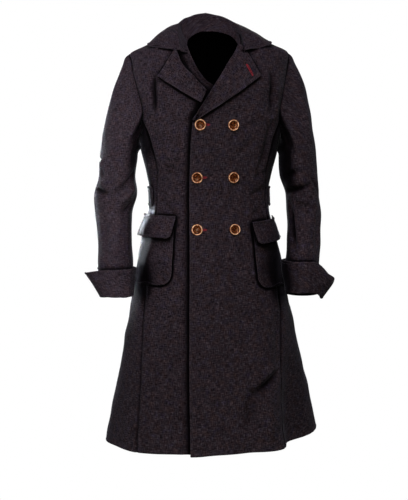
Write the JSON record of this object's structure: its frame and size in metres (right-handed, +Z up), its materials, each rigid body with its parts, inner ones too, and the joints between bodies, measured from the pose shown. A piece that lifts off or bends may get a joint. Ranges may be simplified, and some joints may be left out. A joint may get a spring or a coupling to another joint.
{
  "type": "double-breasted overcoat",
  "caption": "Knee-length double-breasted wool overcoat, hollow as if worn, with notched lapels, wide collar, turned-back cuffs, flap pockets, half belt and horn buttons.",
  "frame": {"origin": "base of the neck midway between the shoulders, where a wearer or a form carries the coat", "axes": "+Z up along the coat, the front faces -Y, +X to the wearer's left"},
  "size_m": [0.6676, 0.4233, 1.1624],
  "materials": {
    "wool": "dark charcoal heathered wool with a purple-brown cast, fine weave, soft nap",
    "horn": "dark brown horn, dished, with a lighter polished rim"
  },
  "bodies": {
    "root": {"front_left": "wool", "front_right": "wool", "side_left": "wool", "side_right": "wool", "back_left": "wool", "back_right": "wool", "sleeve_top_left": "wool", "sleeve_under_left": "wool", "sleeve_top_right": "wool", "sleeve_under_right": "wool", "cuff_left": "wool", "cuff_right": "wool", "collar_fall": "wool", "collar_stand": "wool", "lapel_left": "wool", "lapel_right": "wool", "neck_facing_right": "wool", "pocket_left": "wool", "pocket_right": "wool", "flap_left": "wool", "flap_right": "wool", "half_belt": "wool", "button_top_right": "horn", "button_top_left": "horn", "button_middle_right": "horn", "button_middle_left": "horn", "button_bottom_right": "horn", "button_bottom_left": "horn"}
  },
  "joints": []
}
